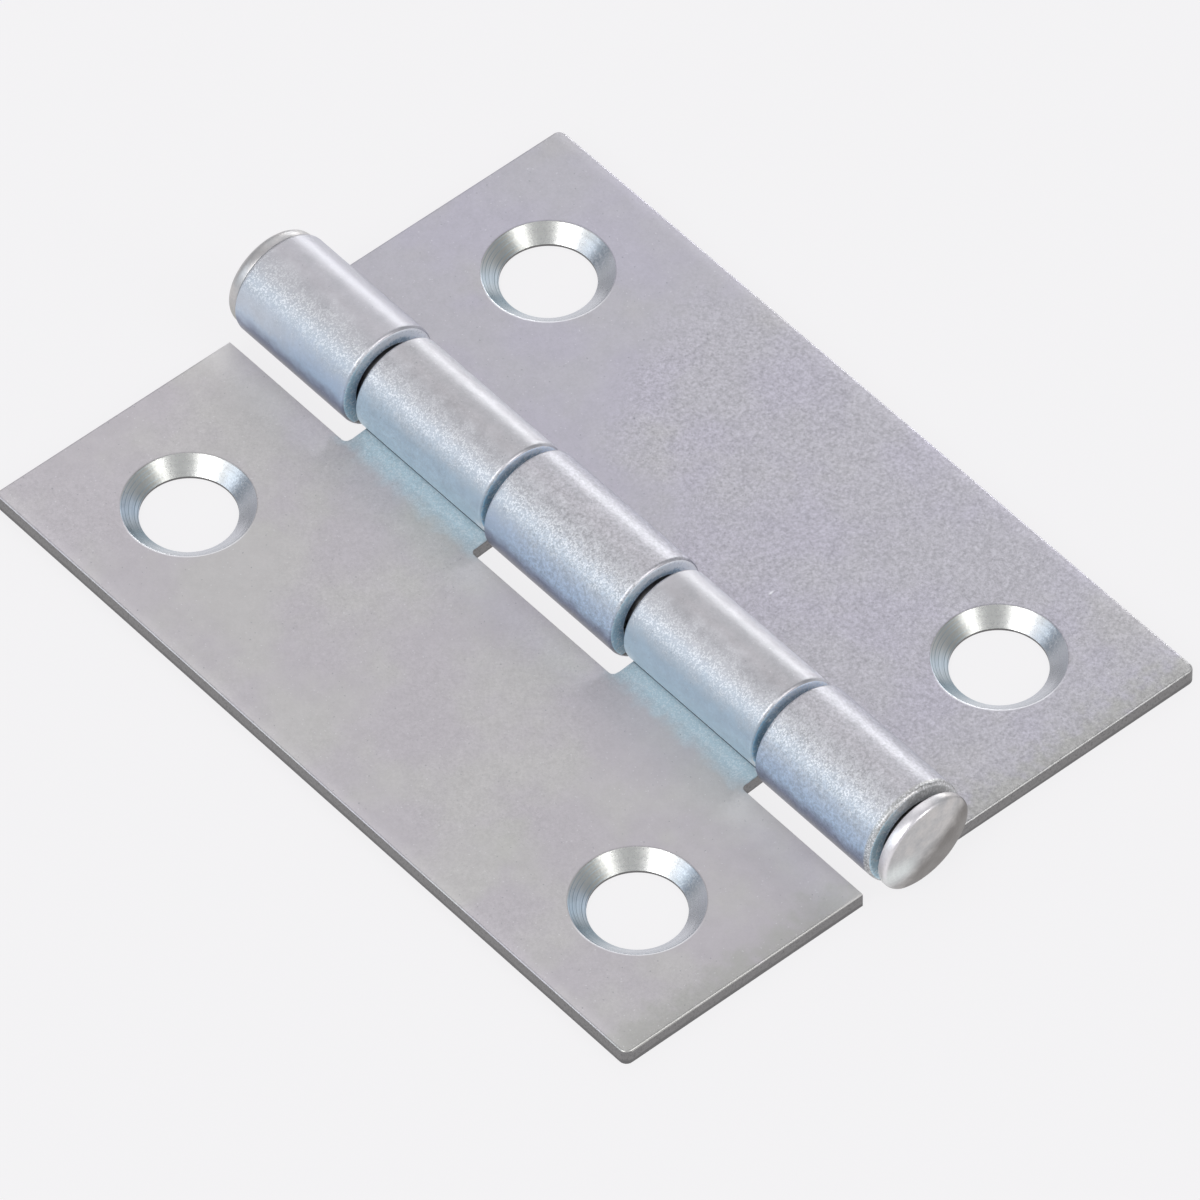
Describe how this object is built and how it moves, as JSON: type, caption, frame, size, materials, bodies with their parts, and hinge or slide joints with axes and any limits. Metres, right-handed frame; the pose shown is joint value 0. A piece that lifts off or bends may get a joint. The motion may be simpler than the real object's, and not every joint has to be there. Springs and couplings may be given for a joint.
{
  "type": "narrow butt hinge",
  "caption": "Narrow butt hinge with two flat countersunk leaves rolled round a headed fixed pin, lying open.",
  "frame": {"origin": "midpoint of the hinge on the plane of the leaves' backs, under the pin's centre line", "axes": "+Y along the pin towards its round head, +Z out of the front faces, +X across the leaf with three knuckles"},
  "size_m": [0.0394, 0.0534, 0.0063],
  "materials": {
    "leaf_plate": "bright zinc plate over sheet steel, satin with a fine grain",
    "pin_plate": "bright zinc plate over a steel pin, satin"
  },
  "bodies": {
    "pinned_leaf": {"three_knuckle_leaf": "leaf_plate", "hinge_pin": "pin_plate"},
    "turning_leaf": {"two_knuckle_leaf": "leaf_plate"}
  },
  "joints": [
    {"name": "leaf_fold", "type": "hinge", "parent": "pinned_leaf", "child": "turning_leaf", "pos_m": [0, 0, 0.00315], "axis": [0, 1, 0], "range_deg": [-93, 180]}
  ]
}
